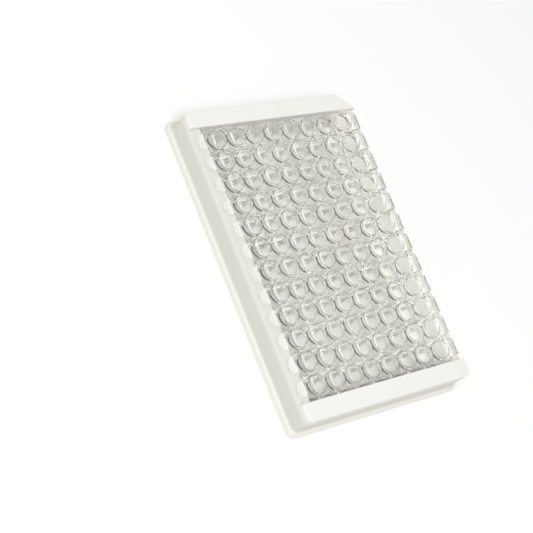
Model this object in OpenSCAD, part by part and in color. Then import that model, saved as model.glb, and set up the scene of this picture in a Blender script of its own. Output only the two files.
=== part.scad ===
// A 96-well strip plate: an open white frame that carries twelve clear strips of eight wells.
// X runs along the plate, Y across it and Z up, with the origin at the middle of the base.
// Row A is at -Y, row H at +Y, and column 1 at -X, beside the cut key corner.

/* [Plate] */
// Length of the flange
plate_l = 127.76; // [127.26:0.25:128.26]
// Width of the flange
plate_w = 85.48; // [84.98:0.25:85.98]
// Height of the well rims above the bench
plate_h = 14.35; // [14.25:0.05:14.55]
// Radius of the flange corners
corner_r = 3.18; // [2.68:0.25:3.68]

/* [Frame] */
// Height of the flange
flange_h = 2.4; // [2:0.1:2.8]
// Height of the two end decks
deck_h = 14; // [13.6:0.1:14.1]
// Height of the side rails that carry the strips' tabs
rail_h = 12.1; // [11.8:0.1:12.3]
// Thickness of the frame's walls
wall_t = 1.5; // [1.2:0.1:1.7]
// Length of the key corner's cut along each wall
key_cut = 7; // [5:0.5:7.5]

/* [Strips] */
// Outer radius of a well's rim
rim_r = 4; // [3.9:0.05:4.1]
// Radius of a well's mouth
mouth_r = 3.45; // [3.25:0.05:3.5]
// Radius of a well's floor
floor_r = 3.2; // [3:0.05:3.25]
// Depth of a well
well_depth = 11.2; // [10.5:0.1:11.4]
// Width of the square tab at row H
square_tab_w = 6.9; // [6.3:0.1:7.3]
// Width of the half-round tab at row A
round_tab_w = 6; // [5.6:0.1:6.4]

/* [Hidden] */
$fn = 96;
pitch = 9;
rows = 8;
columns = 12;
past = 1;          // how far a cut runs past the face it opens

// Frame: outer faces
end_ledge = 1.7;   // the end walls stand in from the flange's edge by this
side_ledge = 1.4;  // and the side walls by this
draft = 1;         // lean of the walls, in degrees
fillet_r = 1.3;    // between the flange and the wall
deck_round = 0.3;  // on the upper edges
wall_corner_r = 2.4;
wall_x = plate_l / 2 - end_ledge;
wall_y = plate_w / 2 - side_ledge;

// Frame: opening, rails and key
opening_x = 55;
opening_y = 36.4;
rail_fall = 0.015; // the rails' tops fall outwards by this for each millimetre
side_y = 39.2;     // from here out each rail is lower, so that the tabs overhang
side_h = rail_h - 0.5;
key_ledge_h = 6.3;
key_reach = 3;     // how far the key's cut runs out over the flange
key_step = 0.2;    // the deck is lower by this at row H's corners
key_step_y = 34;
plain_step_y = 36.8;

// Frame: underside
nest_h = 1.4;      // recess that fits over the deck of a plate below
nest_gap = 0.3;
skirt_z = 3;       // lower edge of the inner walls and ribs
rib_t = 1.2;
core_inset = 1;    // the core's corner centres stand in from the wall's by this

// Frame: lattice of thin ribs between the wells
lattice_t = 0.8;
lattice_h = 6.4;

// Strips
bar_t = 1.35;      // the flat bar that joins the wells and ends in the tabs
bar_h = rail_h + bar_t;
bar_half = 4.25;
bar_end = opening_y - 0.6;
cup_wall = 0.5;
cup_floor_t = 1;
cup_round = 0.5;
rim_round = 0.2;
tab_end = 40;
tab_corner = 0.8;
tab_round = 0.25;
tab_root = bar_end - 1;

function strip_name(column) = str("strip_", column < 10 ? "0" : "", column);
function column_x(column) = (column - (columns + 1) / 2) * pitch;
function row_y(row) = (row - (rows - 1) / 2) * pitch;

// How far the leaning wall has moved inwards at a height
function lean(z) = (z - flange_h) * tan(draft);

// A low and a high value to either side of a middle
function about(middle, half) = [middle - half, middle + half];

// ---- Shared shapes ----

// Carries a section, drawn outwards from x = 0, round a rectangle and fills the middle
module swept_block(half_x, half_y, low, high) {
    signs = [[1, 1], [-1, 1], [-1, -1], [1, -1]];
    for (quarter = [0:3])
        translate([signs[quarter].x * half_x, signs[quarter].y * half_y, 0])
            rotate([0, 0, 90 * quarter])
                rotate_extrude(angle = 90)
                    children();
    for (turn = [0, 180])
        rotate([0, 0, turn]) {
            translate([half_x, 0, 0])
                rotate([90, 0, 0])
                    linear_extrude(2 * half_y, center = true)
                        children();
            translate([0, half_y, 0])
                rotate([90, 0, 90])
                    linear_extrude(2 * half_x, center = true)
                        children();
        }
    translate([-half_x, -half_y, low])
        cube([2 * half_x, 2 * half_y, high - low]);
}

// A box from the low to the high value along each axis
module slab(x, y, z) {
    translate([x[0], y[0], z[0]])
        cube([x[1] - x[0], y[1] - y[0], z[1] - z[0]]);
}

// ---- Frame ----

// Half section of the outer wall: leaning face, root fillet and rounded deck edge
module wall_section() {
    root = [wall_corner_r + fillet_r * (1 / cos(draft) - tan(draft)), flange_h + fillet_r];
    edge_z = deck_h - deck_round;
    edge = [wall_corner_r - lean(edge_z) - deck_round / cos(draft), edge_z];
    out = [cos(draft), sin(draft)];
    polygon([
        [0, 0], [wall_corner_r, 0], [wall_corner_r, flange_h],
        edge + deck_round * out, edge, [edge.x, deck_h], [0, deck_h]
    ]);
    translate(edge)
        circle(deck_round);
    difference() {
        polygon([[wall_corner_r, flange_h / 2], [root.x, flange_h / 2], root, root - fillet_r * out]);
        translate(root)
            circle(fillet_r);
    }
}

module flange_section() {
    square([corner_r - deck_round, flange_h]);
    square([corner_r, flange_h - deck_round]);
    translate([corner_r - deck_round, flange_h - deck_round])
        circle(deck_round);
}

// Half section of the space inside the skirt, with the wider nesting recess at the bottom
module hollow_section() {
    outer = wall_corner_r + core_inset;
    inner = outer - wall_t;
    nest = outer - lean(deck_h) + nest_gap;
    top = deck_h - wall_t;
    polygon([
        [0, -past], [nest, -past], [nest, nest_h], [inner, flange_h],
        [inner - lean(top), top], [0, top]
    ]);
}

// The 45 degree corner at row H and column 1; grow moves it into the frame
module key_corner(grow) {
    leg = key_cut + grow * sqrt(2);
    x = -(wall_x - lean(deck_h));
    y = wall_y - lean(deck_h);
    out_x = x - key_reach;
    out_y = y + key_reach;
    translate([0, 0, key_ledge_h - grow])
        linear_extrude(deck_h)
            polygon([[out_x, y - leg - key_reach], [x + leg + key_reach, out_y], [out_x, out_y]]);
}

// What rounds off the upper edge of a long side, as a section
module side_edge() {
    z = side_h - deck_round;
    centre = [wall_y - lean(z) - deck_round / cos(draft), z];
    out = centre + deck_round * [cos(draft), sin(draft)];
    difference() {
        polygon([centre, out, [plate_w / 2, out.y], [plate_w / 2, plate_h], [centre.x, plate_h]]);
        translate(centre)
            circle(deck_round);
    }
}

// What is taken off one long side between the decks, as a section. It leaves the rail,
// whose top falls slightly outwards, and the lower strip along the edge
module recess_section() {
    edge = wall_y - lean(side_h);
    side_edge();
    polygon([
        [-past, rail_h], [opening_y, rail_h], [side_y, rail_h - (side_y - opening_y) * rail_fall],
        [side_y, side_h], [edge, side_h], [edge, plate_h], [-past, plate_h]
    ]);
}

module rail_recess() {
    for (turn = [0, 180])
        rotate([0, 0, turn])
            rotate([90, 0, 90])
                linear_extrude(2 * opening_x, center = true)
                    recess_section();
}

// Shallow steps in the decks at row H
module deck_steps() {
    slab([-plate_l / 2, -opening_x + past], [key_step_y, plate_w / 2], [deck_h - key_step, plate_h]);
    slab([opening_x - past, plate_l / 2], [plain_step_y, plate_w / 2], [deck_h - key_step, plate_h]);
}

// Inner walls round the opening and the cross ribs behind them
module inner_walls() {
    x = opening_x + wall_t;
    y = opening_y + wall_t;
    rib_z = [skirt_z, plate_h];
    slab([-x, x], [-y, y], rib_z);
    for (rib = [-1:1])
        slab([-plate_l / 2, plate_l / 2], about(rib * 2 * pitch, rib_t / 2), rib_z);
    for (rib = [-2:2])
        slab(about(rib * 2 * pitch, rib_t / 2), [-plate_w / 2, plate_w / 2], rib_z);
}

// Everything that is cored out of the frame from below
module underside() {
    rail_top = side_h - wall_t;
    inset = wall_corner_r + core_inset;
    difference() {
        swept_block(wall_x - inset, wall_y - inset, -past, deck_h - wall_t)
            hollow_section();
        slab([-opening_x - wall_t, opening_x + wall_t], [-plate_w, plate_w], [rail_top, plate_h]);
        inner_walls();
        key_corner(wall_t);
    }
}

// The opening through the frame, with thin ribs left across its lower part between the
// columns and between the rows
module opening() {
    low = -2 * past;
    difference() {
        slab([-opening_x, opening_x], [-opening_y, opening_y], [-past, plate_h]);
        for (column = [1:columns - 1])
            slab(about(column_x(column) + pitch / 2, lattice_t / 2), [-plate_w, plate_w], [low, lattice_h]);
        for (row = [0:rows - 2])
            slab([-plate_l, plate_l], about(row_y(row) + pitch / 2, lattice_t / 2), [low, lattice_h]);
    }
}

module frame() {
    color("ghostwhite") {
        difference() {
            union() {
                swept_block(plate_l / 2 - corner_r, plate_w / 2 - corner_r, 0, flange_h)
                    flange_section();
                swept_block(wall_x - wall_corner_r, wall_y - wall_corner_r, 0, deck_h)
                    wall_section();
            }
            rail_recess();
            deck_steps();
            key_corner(0);
            underside();
            opening();
        }
    }
}

// ---- Strips ----

// Outside of one well: rounded foot, drafted wall and a rim with a rounded lip
module cup_outside() {
    foot_z = plate_h - well_depth - cup_floor_t;
    foot_r = floor_r + cup_wall;
    rotate_extrude() {
        polygon([
            [0, foot_z], [foot_r - cup_round, foot_z], [foot_r - cup_round, foot_z + cup_round],
            [foot_r, foot_z + cup_round], [rim_r, rail_h], [rim_r, plate_h - rim_round],
            [rim_r - rim_round, plate_h - rim_round], [rim_r - rim_round, plate_h], [0, plate_h]
        ]);
        translate([foot_r - cup_round, foot_z + cup_round])
            circle(cup_round);
        translate([rim_r - rim_round, plate_h - rim_round])
            circle(rim_round);
    }
}

// Inside of one well: flat floor with a rounded corner and a drafted wall
module cup_inside() {
    floor_z = plate_h - well_depth;
    rotate_extrude() {
        polygon([
            [0, floor_z], [floor_r - cup_round, floor_z], [floor_r - cup_round, floor_z + cup_round],
            [floor_r, floor_z + cup_round], [mouth_r, plate_h - rim_round],
            [mouth_r + rim_round, plate_h + rim_round], [0, plate_h + rim_round]
        ]);
        translate([floor_r - cup_round, floor_z + cup_round])
            circle(cup_round);
    }
}

// Flat bar that joins the wells
module bar() {
    slab([-bar_half, bar_half], [-bar_end, bar_end], [rail_h, bar_h]);
}

// Tab at row H: square corners in plan, with its outer edge rounded over
module square_tab() {
    half = square_tab_w / 2;
    corner_y = tab_end - tab_corner;
    edge_y = tab_end - tab_round;
    intersection() {
        linear_extrude(plate_h) {
            translate([-half, tab_root])
                square([square_tab_w, corner_y - tab_root]);
            translate([tab_corner - half, tab_root])
                square([square_tab_w - 2 * tab_corner, tab_end - tab_root]);
            for (side = [-1, 1])
                translate([side * (half - tab_corner), corner_y])
                    circle(tab_corner);
        }
        rotate([90, 0, 90])
            linear_extrude(square_tab_w + 2 * past, center = true) {
                translate([tab_root - past, rail_h])
                    square([edge_y - tab_root + past, bar_t]);
                translate([tab_root - past, rail_h])
                    square([tab_end - tab_root + past, bar_t - tab_round]);
                translate([edge_y, bar_h - tab_round])
                    circle(tab_round);
            }
    }
}

// Tab at row A: a half-round tongue with its upper edge rounded over
module round_tab() {
    half = round_tab_w / 2;
    centre_y = half - tab_end;
    slab([-half, half], [centre_y, -tab_root], [rail_h, bar_h]);
    translate([0, centre_y, rail_h])
        rotate_extrude() {
            square([half - tab_round, bar_t]);
            square([half, bar_t - tab_round]);
            translate([half - tab_round, bar_t - tab_round])
                circle(tab_round);
        }
}

module strip(column) {
    color("lightcyan", 0.6)
        translate([column_x(column), 0, 0])
            difference() {
                union() {
                    bar();
                    square_tab();
                    round_tab();
                    for (row = [0:rows - 1])
                        translate([0, row_y(row), 0])
                            cup_outside();
                }
                for (row = [0:rows - 1])
                    translate([0, row_y(row), 0])
                        cup_inside();
            }
}

frame();
for (column = [1:columns]) strip(column);
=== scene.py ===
import math

import bmesh
import bpy
from mathutils import Matrix, Vector

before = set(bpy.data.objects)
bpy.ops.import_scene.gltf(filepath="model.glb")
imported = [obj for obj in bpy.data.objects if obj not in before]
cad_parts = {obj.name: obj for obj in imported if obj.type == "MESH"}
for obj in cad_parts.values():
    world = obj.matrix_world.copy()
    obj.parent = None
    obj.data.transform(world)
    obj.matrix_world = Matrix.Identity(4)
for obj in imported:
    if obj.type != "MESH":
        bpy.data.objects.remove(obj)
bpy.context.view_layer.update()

# ---- Bench, camera and studio light ----
# The plate stands alone on a pale matt bench in a white room, under one large softbox
# at the front. The camera looks down on the row A side, and is rolled so that the
# plate's long side stands upright.

BENCH_SIZE = 4.0
BENCH_WHITE = (0.97, 0.97, 0.965, 1)
BENCH_ROUGHNESS = 0.75


def new_material(name):
    """A material with its node tree, its Principled shader and its output."""
    material = bpy.data.materials.new(name)
    material.use_nodes = True
    tree = material.node_tree
    tree.nodes.clear()
    shader = tree.nodes.new("ShaderNodeBsdfPrincipled")
    output = tree.nodes.new("ShaderNodeOutputMaterial")
    tree.links.new(shader.outputs[0], output.inputs["Surface"])
    return material, tree, shader, output


bench_shape = bmesh.new()
bmesh.ops.create_grid(bench_shape, x_segments=8, y_segments=8, size=BENCH_SIZE / 2)
bench_mesh = bpy.data.meshes.new("bench")
bench_shape.to_mesh(bench_mesh)
bench_shape.free()
bench = bpy.data.objects.new("bench", bench_mesh)
bpy.context.collection.objects.link(bench)
bench_paint, _, shader, _ = new_material("bench_paint")
shader.inputs["Base Color"].default_value = BENCH_WHITE
shader.inputs["Roughness"].default_value = BENCH_ROUGHNESS
bench_mesh.materials.append(bench_paint)

CAMERA_AT = Vector((0.12206, -0.35901, 0.41230))
CAMERA_AIM = Vector((0.00077, -0.02726, 0.0070))
CAMERA_ROLL = math.radians(52.45)
CAMERA_LENS = 98.4
CAMERA_SENSOR = 36


def aimed(at, aim):
    """The place and turn of something that stands at one point and faces another."""
    return Matrix.Translation(at) @ (aim - at).to_track_quat("-Z", "Y").to_matrix().to_4x4()


camera_data = bpy.data.cameras.new("camera")
camera_data.lens = CAMERA_LENS
camera_data.sensor_width = CAMERA_SENSOR
camera = bpy.data.objects.new("camera", camera_data)
camera.matrix_world = aimed(CAMERA_AT, CAMERA_AIM) @ Matrix.Rotation(CAMERA_ROLL, 4, "Z")
bpy.context.collection.objects.link(camera)
bpy.context.scene.camera = camera

ROOM_COLOUR = (1.0, 1.0, 0.99, 1)
ROOM_STRENGTH = 0.62
SOFTBOX_AT = Vector((0.3, -0.6, 1.2))
SOFTBOX_AIM = Vector((0, 0, 0))
SOFTBOX_WIDTH = 0.9
SOFTBOX_HEIGHT = 0.7
SOFTBOX_WATTS = 10.6
CLEAR_BOUNCES = 32
GLOSS_BOUNCES = 16

room = bpy.data.worlds.new("white_room")
room.use_nodes = True
room_light = room.node_tree.nodes["Background"]
room_light.inputs["Color"].default_value = ROOM_COLOUR
room_light.inputs["Strength"].default_value = ROOM_STRENGTH
bpy.context.scene.world = room

softbox_data = bpy.data.lights.new("softbox", "AREA")
softbox_data.shape = "RECTANGLE"
softbox_data.size = SOFTBOX_WIDTH
softbox_data.size_y = SOFTBOX_HEIGHT
softbox_data.energy = SOFTBOX_WATTS
softbox = bpy.data.objects.new("softbox", softbox_data)
softbox.matrix_world = aimed(SOFTBOX_AT, SOFTBOX_AIM)
bpy.context.collection.objects.link(softbox)

bpy.context.scene.view_settings.view_transform = "Standard"
bpy.context.scene.cycles.max_bounces = CLEAR_BOUNCES
bpy.context.scene.cycles.transmission_bounces = CLEAR_BOUNCES
bpy.context.scene.cycles.glossy_bounces = GLOSS_BOUNCES
bpy.context.scene.cycles.transparent_max_bounces = CLEAR_BOUNCES

# ---- Frame ----
# One injection moulding in white filled polystyrene, as it leaves the mould, with a fine satin
# grain. Its colour holds painted shade and painted light: the walls are painted darker and
# creamier than the decks, the flange band at the foot is painted between the two, and the sides
# of the opening are painted paler, standing in for the light that comes through their thin walls.

MM = 0.001
OPENING_HALF_LENGTH = 55.2 * MM
OPENING_HALF_WIDTH = 36.6 * MM
# Heights and colours of the painted shade on the walls and flange, and of the painted light in
# the opening.
FLANGE_SHADE_HEIGHTS = (2.6 * MM, 3.2 * MM)
WALL_SHADE_HEIGHTS = (9 * MM, 14.3 * MM)
WALL_SHADE_WHITE = (0.64, 0.64, 0.58, 1)
DECK_WHITE = (0.87, 0.87, 0.835, 1)
FLANGE_SHADE_WHITE = (0.79, 0.785, 0.73, 1)
OPENING_LIGHT_WHITE = (0.95, 0.945, 0.905, 1)
CLOUDY_WHITE = (0.74, 0.735, 0.69, 1)
CLOUD_SHARE = 0.12
CLOUD_SCALE = 70
SATIN_SCALE = 240
SATIN_ROUGHNESS = (0.36, 0.54)
PATCHINESS = 0.6
GRAIN_SCALE = 2600
GRAIN_DEPTH = 0.02 * MM
GRAIN_STRENGTH = 0.4


def object_axes(tree):
    """The X, Y and Z of the point on Object coordinates."""
    place = tree.nodes.new("ShaderNodeTexCoord")
    axes = tree.nodes.new("ShaderNodeSeparateXYZ")
    tree.links.new(place.outputs["Object"], axes.inputs["Vector"])
    return axes.outputs["X"], axes.outputs["Y"], axes.outputs["Z"]


def within(tree, source, reach):
    """1 where the source lies no further from zero than the reach, 0 elsewhere."""
    test = tree.nodes.new("ShaderNodeMath")
    test.operation = "COMPARE"
    test.inputs[1].default_value = 0.0
    test.inputs[2].default_value = reach
    tree.links.new(source, test.inputs[0])
    return test.outputs[0]


def ramp(tree, source, low, high, start=0.3, end=0.7):
    """Goes from low to high while the source goes from start to end; noise lies in 0.3 to 0.7."""
    band = tree.nodes.new("ShaderNodeMapRange")
    band.inputs["From Min"].default_value = start
    band.inputs["From Max"].default_value = end
    band.inputs["To Min"].default_value = low
    band.inputs["To Max"].default_value = high
    tree.links.new(source, band.inputs["Value"])
    return band.outputs["Result"]


def blend(tree, factor, first, second):
    """A colour that goes from the first at factor 0 to the second at factor 1."""
    node = tree.nodes.new("ShaderNodeMixRGB")
    tree.links.new(factor, node.inputs[0])
    for socket, colour in zip(node.inputs[1:], (first, second)):
        if isinstance(colour, tuple):
            socket.default_value = colour
        else:
            tree.links.new(colour, socket)
    return node.outputs[0]


def noise(tree, scale, detail, roughness=0.5):
    """Noise on Object coordinates, in features of 1/scale metres."""
    place = tree.nodes.new("ShaderNodeTexCoord")
    texture = tree.nodes.new("ShaderNodeTexNoise")
    texture.inputs["Scale"].default_value = scale
    texture.inputs["Detail"].default_value = detail
    texture.inputs["Roughness"].default_value = roughness
    tree.links.new(place.outputs["Object"], texture.inputs["Vector"])
    return texture.outputs["Fac"]


def bump(tree, source, shader, distance, strength):
    """Raises the surface by the source, as deep as the distance."""
    node = tree.nodes.new("ShaderNodeBump")
    node.inputs["Distance"].default_value = distance
    node.inputs["Strength"].default_value = strength
    tree.links.new(source, node.inputs["Height"])
    tree.links.new(node.outputs["Normal"], shader.inputs["Normal"])


def dress(node, material):
    """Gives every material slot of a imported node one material."""
    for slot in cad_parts[node].material_slots:
        slot.material = material


white, tree, shader, _ = new_material("white_moulding")
along, across, up = object_axes(tree)
# Painted light: a mask of the opening's inner surfaces, which are painted paler.
opening_light_mask = tree.nodes.new("ShaderNodeMath")
opening_light_mask.operation = "MULTIPLY"
tree.links.new(within(tree, along, OPENING_HALF_LENGTH), opening_light_mask.inputs[0])
tree.links.new(within(tree, across, OPENING_HALF_WIDTH), opening_light_mask.inputs[1])
# Painted shade: the walls are painted darker than the decks, fading to the deck colour near the
# top.
painted_shade_tone = blend(tree, ramp(tree, up, 0, 1, *WALL_SHADE_HEIGHTS), WALL_SHADE_WHITE, DECK_WHITE)
# Painted shade on the flange band at the foot, lighter than on the walls.
painted_shade_tone = blend(tree, ramp(tree, up, 1, 0, *FLANGE_SHADE_HEIGHTS), painted_shade_tone, FLANGE_SHADE_WHITE)
# Painted light: the sides of the opening are painted paler.
painted_shade_tone = blend(tree, opening_light_mask.outputs[0], painted_shade_tone, OPENING_LIGHT_WHITE)
clouds = ramp(tree, noise(tree, CLOUD_SCALE, 3, PATCHINESS), 0, CLOUD_SHARE)
tree.links.new(blend(tree, clouds, painted_shade_tone, CLOUDY_WHITE), shader.inputs["Base Color"])
satin = ramp(tree, noise(tree, SATIN_SCALE, 4, PATCHINESS), *SATIN_ROUGHNESS)
tree.links.new(satin, shader.inputs["Roughness"])
bump(tree, noise(tree, GRAIN_SCALE, 3), shader, GRAIN_DEPTH, GRAIN_STRENGTH)
dress("frame", white)

# ---- Strips ----
# Twelve identical strips of eight wells, pressed into the frame's opening by hand so
# that a square tab and a round tab rest on its rails. Each is one thin moulding in
# clear polystyrene, slightly hazy, with faint flow marks.

STRIPS = 12
CLEAR_COLOUR = (1.0, 1.0, 0.985, 1)
CLEAR_INDEX = 1.22
CLEAR_SHARE = 0.94
HAZE_SCALE = 260
HAZE_ROUGHNESS = (0.02, 0.06)
FLOW_SCALE = 160
FLOW_DEPTH = 0.02 * MM
FLOW_STRENGTH = 0.35
WELLS_HALF_WIDTH = 37.5 * MM
ROW_H_FROM = (24 * MM, 31 * MM)
TABS_FROM = (-10 * MM, 10 * MM)
WELL_SHADOW = (0.8, 0.8, 0.79, 1)
ROW_H_SHADOW = (0.96, 0.96, 0.95, 1)
ROUND_TAB_SHADOW = (0.55, 0.55, 0.54, 1)
SQUARE_TAB_SHADOW = (0.2, 0.2, 0.2, 1)

clear, tree, shader, output = new_material("clear_polystyrene")
shader.inputs["Base Color"].default_value = CLEAR_COLOUR
shader.inputs["IOR"].default_value = CLEAR_INDEX
shader.inputs["Transmission Weight"].default_value = CLEAR_SHARE
haze = ramp(tree, noise(tree, HAZE_SCALE, 3), *HAZE_ROUGHNESS)
tree.links.new(haze, shader.inputs["Roughness"])
bump(tree, noise(tree, FLOW_SCALE, 2), shader, FLOW_DEPTH, FLOW_STRENGTH)

# Light on its way to the frame and the bench passes straight through the plastic: most
# of it at row H, which stands over the lit side of the opening, and least at the tabs.
path = tree.nodes.new("ShaderNodeLightPath")
_, across, _ = object_axes(tree)
wells = blend(tree, ramp(tree, across, 0, 1, *ROW_H_FROM), WELL_SHADOW, ROW_H_SHADOW)
tabs = blend(tree, ramp(tree, across, 0, 1, *TABS_FROM), ROUND_TAB_SHADOW, SQUARE_TAB_SHADOW)
shade = blend(tree, within(tree, across, WELLS_HALF_WIDTH), tabs, wells)
shadow = tree.nodes.new("ShaderNodeBsdfTransparent")
tree.links.new(shade, shadow.inputs["Color"])
mix = tree.nodes.new("ShaderNodeMixShader")
tree.links.new(path.outputs["Is Shadow Ray"], mix.inputs["Fac"])
tree.links.new(shader.outputs[0], mix.inputs[1])
tree.links.new(shadow.outputs[0], mix.inputs[2])
tree.links.new(mix.outputs[0], output.inputs["Surface"])
for number in range(1, STRIPS + 1):
    dress(f"strip_{number:02d}", clear)
